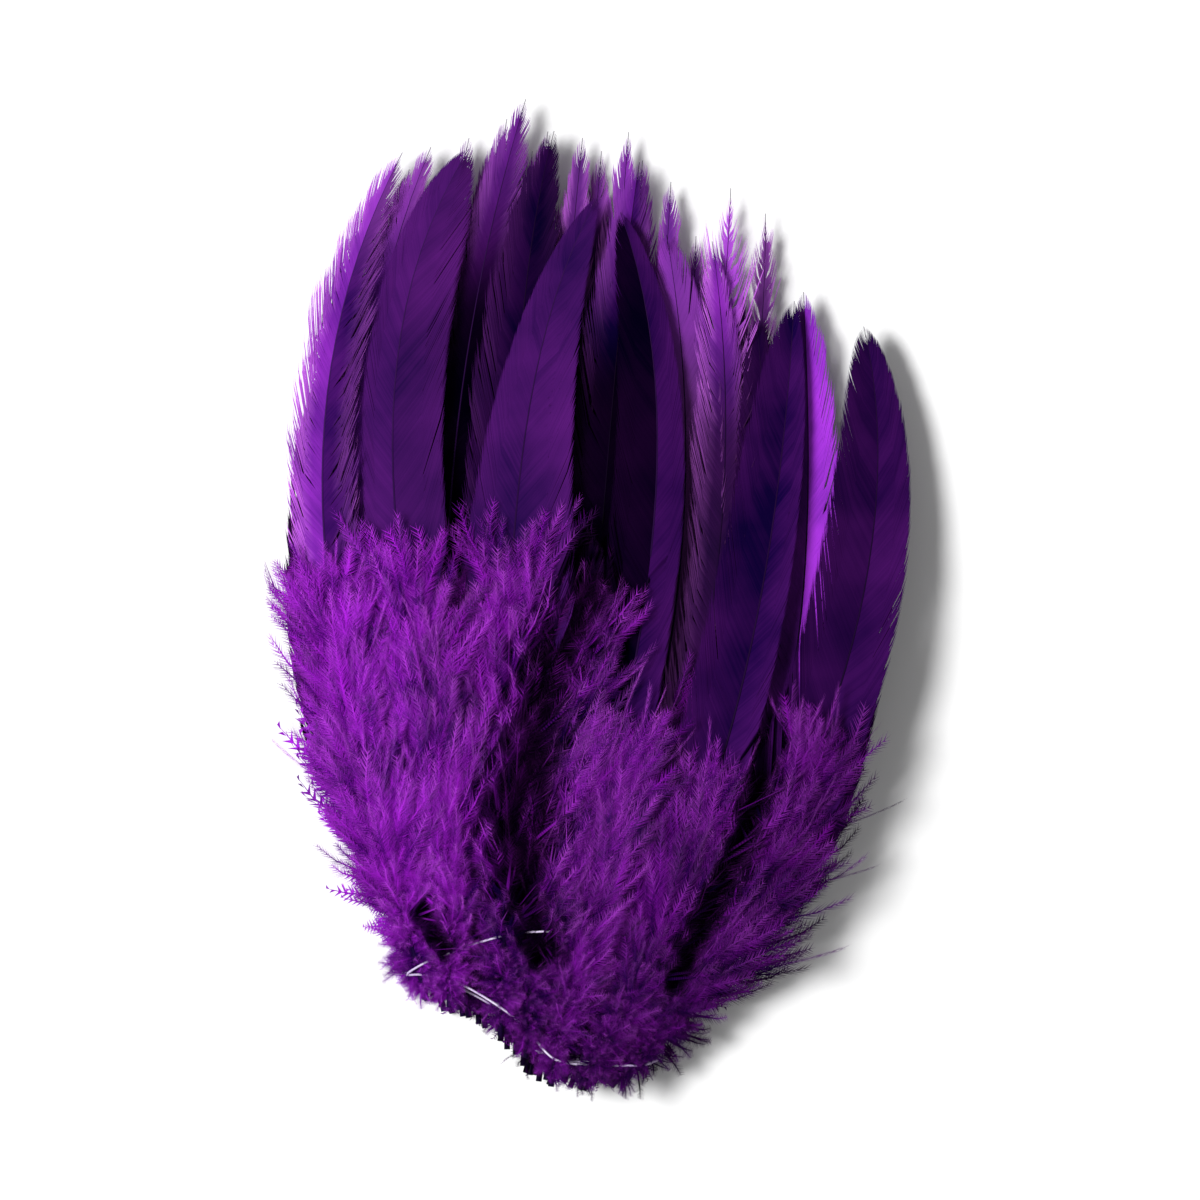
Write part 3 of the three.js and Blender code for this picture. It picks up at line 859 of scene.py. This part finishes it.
def plume_branch(tree, size):
    shapes = {"Switch": size["Seen Near"], "False": plain_plume, "True": fine_plume}
    shape = add_node(tree, "GeometryNodeSwitch", shapes, input_type="OBJECT")
    plumes = strand_copies(tree, size["Plumes"], shape)
    strand = Strand(tree, size["Seed"] + PLUME_SEEDS)
    of_tuft = (strand.pair / PLUMES_IN_A_TUFT).math("FLOOR") * 2 + strand.side

    def tufted(low, high, channel):
        """A random value that a plume mostly shares with its tuft."""
        own = strand.chance(low, high, channel)
        return strand.chance(low, high, channel + 20, of_tuft) * TUFT_SHARE + own * (1 - TUFT_SHARE)

    u = ((strand.pair + strand.chance(0.0, 1.0, 1)) / (size["Plumes"] / 2)) ** CROWDING
    root = u * (size["Down End"] - size["Down Reach"] * LAST_PLUME - FIRST_PLUME) + FIRST_PLUME
    widening = (root - FIRST_PLUME) * DOWN_OPENING + LOWEST_REACH
    stray = strand.chance(0.0, 1.0, 10) ** STRAY_RARITY
    reach = size["Down Reach"].math("MINIMUM", widening) * (strand.chance(0.7, 1.1, 2) + stray * STRAY_REACH)
    opened = ((root - FIRST_PLUME) / BASE_ENDS).math("MINIMUM", 1.0)
    unruly = (1 - opened) * strand.chance(-0.8, 0.8, 12)
    run = reach * (opened * (PLUME_RUN[1] - PLUME_RUN[0]) + PLUME_RUN[0] + unruly) * tufted(0.6, 1.3, 3)
    turn = tufted(size["Lowest Turn"], HIGHEST_TURN, 4)
    thickness = reach * (PLUME_THICKNESS / FULL_REACH)
    curl = tufted(-0.65, 0.65, 5)
    hook = tufted(-0.7, 0.5, 6)

    def path(t):
        """A plume's own place at a share of its length."""
        outwards = turn.math("COSINE") * bowed(t, PLUME_BOW[0]) * strand.side
        lateral = reach * (outwards + curl * t * t)
        along = root + run * bowed(t, PLUME_BOW[1])
        height = thickness * (turn.math("SINE") * bowed(t, PLUME_BOW[2]) + hook * t * t)
        return combine(tree, lateral, along, height)

    here = path(strand.reach)
    ahead = vector_math(tree, "SUBTRACT", path(strand.reach + AHEAD), here)
    ahead = vector_math(tree, "NORMALIZE", ahead)
    upright = combine(tree, strand.chance(-0.9, 0.9, 7), 0.0, 1.0)
    sideways = vector_math(tree, "NORMALIZE", vector_math(tree, "CROSS_PRODUCT", upright, ahead))
    upwards = vector_math(tree, "CROSS_PRODUCT", ahead, sideways)
    small = reach / FULL_REACH * (1 - LEAST_BARBULE) + LEAST_BARBULE
    barbule = small * BARBULE_LENGTH * strand.chance(0.75, 1.25, 8) * (1 - stray * STRAY_BARENESS)
    spread = vector_math(tree, "SCALE", sideways, scale=strand.across * barbule)
    flutter = vector_math(tree, "SCALE", upwards, scale=strand.crest * barbule)
    place = vector_math(tree, "ADD", vector_math(tree, "ADD", here, spread), flutter)

    stored = store(
        tree,
        plumes,
        shade=tufted(0.0, 1.0, 9),
        reach=strand.reach,
        across=strand.across.math("ABSOLUTE"),
        edge=0.0,
        fray=strand.chance(0.0, 0.5, 11) + stray * 0.5,
    )
    placed = add_node(tree, "GeometryNodeSetPosition", {"Geometry": stored, "Position": place})
    return made_of(tree, placed, down_dye)


# %% [markdown]
# ### Shaft
# The shaft is one tapering tube: thick and bare at the quill, and as thin as a hair at the tip.

# %% Shaft branch
SHAFT_STEPS = 32
SHAFT_SIDES = 7
SHAFT_TIP_RADIUS = 0.05 * MM
SHAFT_TAPER = 0.55


def tube_along(tree, curve, section, scale):
    inputs = {"Curve": curve, "Profile Curve": section, "Scale": scale, "Fill Caps": True}
    return add_node(tree, "GeometryNodeCurveToMesh", inputs)


def shaft_branch(tree, size):
    line = add_node(tree, "GeometryNodeCurvePrimitiveLine", {"End": combine(tree, 0.0, size["Length"], 0.0)})
    steps = add_node(tree, "GeometryNodeResampleCurve", {"Curve": line, "Count": SHAFT_STEPS})
    share = Formula(tree, add_node(tree, "GeometryNodeSplineParameter").outputs["Factor"])
    stored = store(tree, steps, reach=share, fray=1.0)
    ring = add_node(tree, "GeometryNodeCurvePrimitiveCircle", {"Resolution": SHAFT_SIDES, "Radius": 1.0})
    radius = QUILL_RADIUS - (QUILL_RADIUS - SHAFT_TIP_RADIUS) * share**SHAFT_TAPER
    return made_of(tree, tube_along(tree, stored, ring, radius), shaft_dye)


# %% The whole tree


def saddle_feather_tree():
    usual = {
        "Length": 140 * MM,
        "Down Share": 0.5,
        "Down End": 70 * MM,
        "Down Reach": FULL_REACH,
        "Vane Half Width": 7 * MM,
        "Left Spread": 1.0,
        "Right Spread": 1.0,
        "Bluntness": 1.9,
        "Barb Pairs": 200,
        "Looseness": 0.2,
        "Plumes": 200,
        "Seen Near": False,
        "Lowest Turn": -1.0,
        "Seed": 0,
    }
    tree, size = growing_tree("saddle feather", usual)
    joined = add_node(tree, "GeometryNodeJoinGeometry")
    for branch in (shaft_branch, barb_branch, plume_branch):
        feed(tree, joined.inputs[0], branch(tree, size))
    add_node(tree, "NodeGroupOutput", {0: joined})
    return tree


saddle_feather = saddle_feather_tree()
print("the saddle feather tree has", len(saddle_feather.nodes), "nodes")

# %% [markdown]
# ## How each feather looks
# The dye has taken differently on every feather, and some vanes are whole while others are frayed. A look
# gives the tones of the left and right half of the vane and of the down, the looseness of the barbs, and
# what else sets the feather apart from its solid and from its neighbours. The tones hold painted light and
# shade as well as dye: the two halves of a vane differ as the lamp catches their barbs, a feather that lies
# in shadow between others is darker, and one that faces the lamp is brighter.


# %% Looks
HOLLOW_TONE = 0.15  # painted shade: tone of the down at the bottom of the hollows below the shaft, as a share of its tone on top
PLAIN_LOOK = {
    "spread": (1, 1),  # widths of the vane's left and right half, as shares of the solid's
    "down_shift": 0,  # how many millimetres further up the down ends
    "sunk": 1,  # painted shade: tone of a vane's lower part, in shadow deep between others, as a share of its tone at the tip
    "veil": 0,  # painted sheen, pale over the vane
    "tip_veil": 0,  # painted light that shines through the tip alone
    "rim": (1, 1),  # painted glints: how pale the barbs end on the left and on the right
    "rounding": 1.7,  # how blunt the vane ends, as a multiple of the solid's bluntness
    # painted shade of the down at the bottom of the hollows
    "hollow": HOLLOW_TONE,
}
FANNED_LOOK = {"sunk": 0.1, "tip_veil": 0.1, "rim": (1.5, 1.5), "rounding": 0.8}


def look(vane, down, looseness, **others):
    """One feather's look. What isn't given stays plain."""
    return {**PLAIN_LOOK, "vane": vane, "down": down, "looseness": looseness, **others}


# vane and down tones here are partly dye and partly painted light and shade
FRONT_LOOKS = [
    look((2.2, 0.9), (1.15, 1.4), 0.6, down_shift=-5, tip_veil=0.15, rim=(2, 0.5), hollow=0.4),
    look((0.8, 0.64), (1.4, 1.0), 0.04, spread=(0.65, 1.05), down_shift=-4, veil=0.012, rounding=2.4),
    look((0.72, 0.72), (0.95, 0.9), 0.03, spread=(1, 1.25), down_shift=9, veil=0.01, rounding=1.0),
    look((0.3, 0.3), (0.7, 0.8), 0.3, down_shift=8),
    look((0.1, 0.55), (0.8, 0.8), 0.06, spread=(1.0, 0.65), down_shift=-7),
    look((0.46, 0.68), (0.75, 0.52), 0.05, spread=(1.0, 0.55)),
    look((0.38, 0.54), (0.6, 0.42), 0.05, spread=(1.2, 0.9), down_shift=6),
]
SECOND_LOOKS = [
    look((3.2, 2.2), (1.3, 1.3), 0.9, down_shift=-12, tip_veil=0.3, rim=(2, 1), hollow=0.7),
    look((1.6, 1.2), (1.1, 1.1), 0.5, sunk=0.5, tip_veil=0.2),
    look((1.3, 1.0), (0.9, 0.7), 0.5, sunk=0.04, tip_veil=0.03, rounding=1.2),
    look((0.36, 0.28), (0.4, 0.3), 0.3, spread=(1.2, 1.0), sunk=0.9, rounding=1.2),
    look((1.7, 1.0), (0.2, 0.2), 0.4, sunk=0.04, down_shift=-8, rounding=1.2),
    look((1.9, 1.7), (0.5, 0.5), 0.2, sunk=0.2, veil=0.12, rounding=1.2),
    look((2.2, 2.2), (0.6, 0.5), 0.5, spread=(1, 0.6), sunk=0.16, veil=0.02, rim=(3, 1), rounding=1.2),
    look((0.32, 0.32), (0.5, 0.4), 0.2, rounding=1.3),
    look((1.0, 3.8), (0.4, 0.4), 0.35, veil=0.01, rim=(0.5, 0.5), rounding=1.2),
    look((0.5, 0.5), (0.5, 0.5), 0.06),
]


def scattered_looks(count, seed, tone, looseness):
    """Looks of a fanned row, scattered round one tone. The right side of the row is the most frayed."""
    looks = []
    last = count - 1
    for i in range(count):
        # Painted light and shade: each vane's left half is a little darker, and the down of the leftmost
        # feathers, on the lit side, is lighter and has no hollow shade.
        own = tone * (1 + 0.5 * scatter(seed + i))
        fray = looseness * (0.7 + 0.6 * i / last)
        inwards = min(1, 3 * i / last)
        down = 1.6 - inwards
        hollow = 1 - (1 - HOLLOW_TONE) * inwards
        looks.append(look((own * 0.9, own), (down, down), fray, **FANNED_LOOK, hollow=hollow))
    return looks


THIRD_LOOKS = scattered_looks(12, 83, 1.3, 0.55)
# two wide, frayed feathers stand up behind the right half of the pile
THIRD_LOOKS[8] = look((3.0, 3.0), (0.6, 0.6), 1.2, spread=(1.8, 2.0), sunk=0.03, tip_veil=0.4)
THIRD_LOOKS[9] = look((0.6, 0.6), (0.6, 0.6), 1.0, spread=(1.3, 1.3), sunk=0.1, tip_veil=0.2)
FOURTH_LOOKS = scattered_looks(11, 71, 1.6, 0.55)
BACK_LOOKS = scattered_looks(8, 61, 2.2, 0.5)


# %% [markdown]
# ## Growing the rows
# Every feather is grown from the tree, made a plain mesh, and laid in its place. The rows that are seen
# whole get the most barbs and plumes. The down is painted darker as shade near the quills, where it is
# packed and lies in its own shadow, and darker still in the hollows below the shafts and at the bottom of
# the valleys.

# %% Grow one feather


def grown_mesh(name, tree, values, start=((), ())):
    """The plain mesh that a tree grows with the given values of its named inputs, from points and edges."""
    seed_mesh = bpy.data.meshes.new(name)
    seed_mesh.from_pydata(start[0], start[1], [])
    carrier = bpy.data.objects.new(name, seed_mesh)
    bpy.context.scene.collection.objects.link(carrier)
    modifier = carrier.modifiers.new("grow", "NODES")
    modifier.node_group = tree
    for item in tree.interface.items_tree:
        if item.in_out == "INPUT" and item.name in values:
            modifier[item.identifier] = values[item.name]
    evaluated = carrier.evaluated_get(bpy.context.evaluated_depsgraph_get())
    mesh = bpy.data.meshes.new_from_object(evaluated)
    bpy.data.objects.remove(carrier)
    bpy.data.meshes.remove(seed_mesh)
    mesh.name = name
    if mesh.materials[0] is None:
        mesh.materials.pop(index=0)  # the unit shapes' own slot, which no face uses any more
    return mesh


def point_values(mesh, name, size=1):
    key = "vector" if size == 3 else "value"
    values = np.zeros(len(mesh.vertices) * size, np.float32)
    mesh.attributes[name].data.foreach_get(key, values)
    return values.reshape(-1, 3) if size == 3 else values


def set_point_values(mesh, name, values):
    store_in = mesh.attributes.get(name) or mesh.attributes.new(name, "FLOAT", "POINT")
    store_in.data.foreach_set("value", values.astype(np.float32))


BASE_TONE = 0.85  # painted shade: tone of the down at the quill, where it lies in its own shadow, as a share of its tone further up
BASE_TONE_ENDS = 45 * MM
VALLEY_TONE = 0.03  # painted shade: tone of the down at the bottom of a valley, as a share of its tone outside
TUFTS_LEAN_IN = 0.7  # how much nearer the bottom the edge of the painted valley shade is for bright tufts, in half widths
HOLLOWS = (-1.2 * MM, 1.8 * MM)  # heights from the shaft of the bottom and the top of the hollows' painted shade
DOWN_HALVES = (-3 * MM, 3 * MM)  # between these places the tone goes over from the left to the right half
PALE_TIP = (0.82, 1.0)  # shares of the length between which the painted light through the tip comes on
SUNK_PART = (0.75, 0.97)  # shares of the length between which a vane's painted shade below gives way to its full tone


def plumage_tone(points, laid, edge, shade, length, finish):
    """The tone of every point of a feather, with painted light and shade: the two halves of a vane, a vane's
    lower part shaded between others, and down painted darker near the quill, below the shaft and in the
    valleys.
    """
    left, right = finish["vane"]
    out_of_sunk = smooth_step(points[:, 1] / length, *SUNK_PART)
    vane = np.where(edge < 0, left, right) * (finish["sunk"] + (1 - finish["sunk"]) * out_of_sunk)
    left, right = finish["down"]
    down = left + (right - left) * smooth_step(points[:, 0], *DOWN_HALVES)
    from_base = BASE_TONE + (1 - BASE_TONE) * smooth_step(points[:, 1], 0, BASE_TONE_ENDS)
    hollow = finish["hollow"]
    from_below = hollow + (1 - hollow) * smooth_step(points[:, 2], *HOLLOWS)
    in_valley = valley_depth(laid[:, 0], laid[:, 1], (0.5 - shade) * TUFTS_LEAN_IN)
    down = down * from_base * from_below * (1 - (1 - VALLEY_TONE) * in_valley)
    return np.where(edge != 0, vane, down)


def grow_feather(node, feather, level, row, finish):
    """One feather's plumage, in the place of the solid of that name."""
    _, distances = shaft_line(feather)
    length = float(distances[-1])
    values = {
        "Length": length,
        "Down Share": feather["share"],
        "Down End": length * feather["share"] + finish["down_shift"] * MM,
        "Down Reach": feather["down"],
        "Vane Half Width": feather["vane"],
        "Left Spread": float(finish["spread"][0]),
        "Right Spread": float(finish["spread"][1]),
        "Bluntness": float(feather["bluntness"] * finish["rounding"]),
        "Looseness": finish["looseness"],
        "Seed": level * 100 + int(node.rsplit("_", 1)[1]),
        **row["sizes"],
    }
    mesh = grown_mesh(node + "_plumage", saddle_feather, values)
    points = point_values(mesh, "position", 3).astype(float)
    laid = lay(points, feather, level)
    mesh.attributes["position"].data.foreach_set("vector", laid.astype(np.float32).ravel())
    edge = point_values(mesh, "edge")
    shade = point_values(mesh, "shade")
    set_point_values(mesh, "tone", plumage_tone(points, laid, edge, shade, length, finish))
    # painted glints: the pale ends of the barbs grow brighter along the chosen edges
    rim = np.select([edge < 0, edge > 0], finish["rim"], 1)
    set_point_values(mesh, "fray", np.minimum(point_values(mesh, "fray") * rim, 1))
    # painted sheen over the vane, and painted light that shines through its tip
    veils = finish["veil"] + finish["tip_veil"] * smooth_step(points[:, 1] / length, *PALE_TIP)
    set_point_values(mesh, "veil", np.where(edge != 0, veils, 0))
    mesh.update()
    piece = bpy.data.objects.new(mesh.name, mesh)
    bpy.context.scene.collection.objects.link(piece)
    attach(piece, "root")
    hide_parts(node)
    return piece


# %% Grow all rows
ALL_ROUND = -1.2  # lowest turn of the plumes round the shaft, in radians below the sides
MOSTLY_UP = -0.5


def row_of(name, feathers, looks, barb_pairs, plumes, lowest_turn=ALL_ROUND, seen_near=False):
    """One row of the pile. Its sizes have the names of the tree's inputs."""
    sizes = {"Barb Pairs": barb_pairs, "Plumes": plumes, "Lowest Turn": lowest_turn, "Seen Near": seen_near}
    return {"name": name, "feathers": feathers, "looks": looks, "sizes": sizes}


ROWS = [
    row_of("back_row", BACK_ROW, BACK_LOOKS, 90, 90),
    row_of("fourth_row", FOURTH_ROW, FOURTH_LOOKS, 120, 100),
    row_of("third_row", THIRD_ROW, THIRD_LOOKS, 160, 110),
    row_of("second_row", SECOND_ROW, SECOND_LOOKS, 230, 180, ALL_ROUND, True),
    row_of("front_row", FRONT_ROW, FRONT_LOOKS, 280, 800, MOSTLY_UP, True),
]

total = 0
for level, row in enumerate(ROWS):
    for i, (feather, finish) in enumerate(zip(row["feathers"], row["looks"])):
        node = f"{row['name']}_feather_{i + 1}"
        piece = grow_feather(node, feather, level, row, finish)
        piece.data.calc_loop_triangles()
        total += len(piece.data.loop_triangles)
    print(row["name"], "is grown,", total, "triangles so far")

for helper in helpers:
    bpy.data.objects.remove(helper)

# %% [markdown]
# ## The stringing thread
# One thread holds all the quills. It goes over one and under the next, turns at the end of each row into
# the row above, and its last end lies loosely over the down. The thread is three strands
# twisted together, so its section has three lobes, and the section turns as it follows the path.

# %% Path of the thread
THREAD_RADIUS = 0.2 * MM
THREAD_CLEARANCE = 0.08 * MM
STITCH_HEIGHT = 4.4 * MM
TURN_REACH = 2 * MM
TURN_RISE = 0.5 * MM
TAIL_START = (10, -71)
LOOSE_TAIL = [  # places in plan, and heights over the shafts. The tail sinks into the down between them
    (-26.5, -58, 0.8), (-24.6, -57.3, -1), (-22.9, -56.7, 0.8), (-19.2, -55.2, -1.6),
    (-15.3, -53.9, 0.8), (-13.2, -53.5, -1.2), (-11.4, -53.2, 0.3), (-5.1, -52.9, -1.6),
]
SAMPLES_A_SPAN = 8


def stitches_of(level, feathers):
    """Where the thread crosses the quills of one row: over the first, under the second, and so on."""
    swing = QUILL_RADIUS + THREAD_RADIUS + THREAD_CLEARANCE
    stitches = []
    for i, feather in enumerate(feathers):
        places, distances = shaft_line(feather)
        x, y = (np.interp(STITCH_HEIGHT, distances, axis) for axis in places.T)
        quill = QUILL_LIFT + QUILL_RADIUS if level == 0 else rise(x, y) * level
        stitches.append(np.array((x, y, quill + (swing if i % 2 == 0 else -swing))))
    return stitches


def thread_points():
    points = []
    for level, row in enumerate(ROWS):
        stitches = stitches_of(level, row["feathers"])
        right_to_left = level % 2 == 0
        if right_to_left:
            stitches.reverse()
        outwards = TURN_REACH if right_to_left else -TURN_REACH
        arrives = stitches[0] + (outwards, 0, -TURN_RISE)
        if level == 0:
            arrives = np.array((TAIL_START[0] * MM, TAIL_START[1] * MM, stitches[0][2]))
        points += [arrives, *stitches, stitches[-1] + (-outwards, 0, TURN_RISE)]
    for x, y, height in np.array(LOOSE_TAIL) * MM:
        points.append(np.array((x, y, rise(x, y) * (len(ROWS) - 1) + height)))
    return np.array(points)


def smooth_path(points):
    """A rounded path through all points, which stays close to them where they are unevenly spaced."""
    before, after = 2 * points[0] - points[1], 2 * points[-1] - points[-2]
    p = np.vstack([before, points, after])
    gaps = np.sqrt(np.linalg.norm(np.diff(p, axis=0), axis=1))[:, None]
    slopes = np.diff(p, axis=0) / gaps
    wide = (p[2:] - p[:-2]) / (gaps[1:] + gaps[:-1])
    heading = slopes[:-1] - wide + slopes[1:]
    path = []
    for i in range(len(points) - 1):
        start, end = points[i], points[i + 1]
        leave, arrive = heading[i] * gaps[i + 1], heading[i + 1] * gaps[i + 1]
        for t in np.arange(SAMPLES_A_SPAN) / SAMPLES_A_SPAN:
            ease = t * t * (3 - 2 * t)
            bend = leave * (t**3 - 2 * t**2 + t) + arrive * (t**3 - t**2)
            path.append(start * (1 - ease) + end * ease + bend)
    return np.array(path + [points[-1]])


thread_path = smooth_path(thread_points())
print("the thread is followed through", len(thread_path), "points")

# %% Twisted thread tree
THREAD_STEP = 0.4 * MM
THREAD_SIDES = 9
TWIST_PITCH = 1.5 * MM  # length of thread for one turn of its strands
STRAND_DENT = 0.22  # depth of the grooves between the strands, as a share of the radius


def twisted_thread_tree():
    """A three-stranded thread along the edges that the tree is given."""
    usual = {"Radius": THREAD_RADIUS, "Twist Pitch": TWIST_PITCH, "Step": THREAD_STEP}
    tree, size = growing_tree("twisted thread", usual)
    line = add_node(tree, "GeometryNodeMeshToCurve", {"Mesh": size["Geometry"]})
    spaced = {"Curve": line, "Length": size["Step"]}
    steps = add_node(tree, "GeometryNodeResampleCurve", spaced, mode="LENGTH")
    travelled = Formula(tree, add_node(tree, "GeometryNodeSplineParameter").outputs["Length"])
    twist = travelled / size["Twist Pitch"] * (2 * math.pi)
    turned = add_node(tree, "GeometryNodeSetCurveTilt", {"Curve": steps, "Tilt": twist})
    ring = add_node(tree, "GeometryNodeCurvePrimitiveCircle", {"Resolution": THREAD_SIDES, "Radius": 1.0})
    corner = Formula(tree, add_node(tree, "GeometryNodeInputIndex"))
    groove = corner.math("FLOORED_MODULO", 3.0).math("LESS_THAN", 0.5) * STRAND_DENT
    shape = vector_math(tree, "SCALE", add_node(tree, "GeometryNodeInputPosition"), scale=1 - groove)
    section = add_node(tree, "GeometryNodeSetPosition", {"Geometry": ring, "Position": shape})
    tube = tube_along(tree, turned, section, size["Radius"])
    single = add_node(tree, "GeometryNodeRealizeInstances", {"Geometry": tube})
    add_node(tree, "NodeGroupOutput", {0: made_of(tree, single, thread_white)})
    return tree


thread_white = plumage_material(
    "stringing thread",
    roughness=0.35,
    grain_scale=4000.0,
    grain_depth=0.01 * MM,
    gloss=0.5,
    sheen=0.2,
    sheen_tint=linear(255, 245, 255),
    deep_colour=linear(176, 140, 206),
    bright_colour=linear(240, 230, 250),
    pale_colour=WHITE,
    patch_scale=300.0,
    patch_amount=1.5,
)

# %% Make the thread
thread_edges = [(i, i + 1) for i in range(len(thread_path) - 1)]
thread_mesh = grown_mesh("stringing_thread_twisted", twisted_thread_tree(), {}, (thread_path, thread_edges))
set_point_values(thread_mesh, "tone", np.ones(len(thread_mesh.vertices)))
thread_piece = bpy.data.objects.new(thread_mesh.name, thread_mesh)
bpy.context.scene.collection.objects.link(thread_piece)
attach(thread_piece, "root")
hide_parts("stringing_thread")
print("the thread has", len(thread_mesh.polygons), "faces")
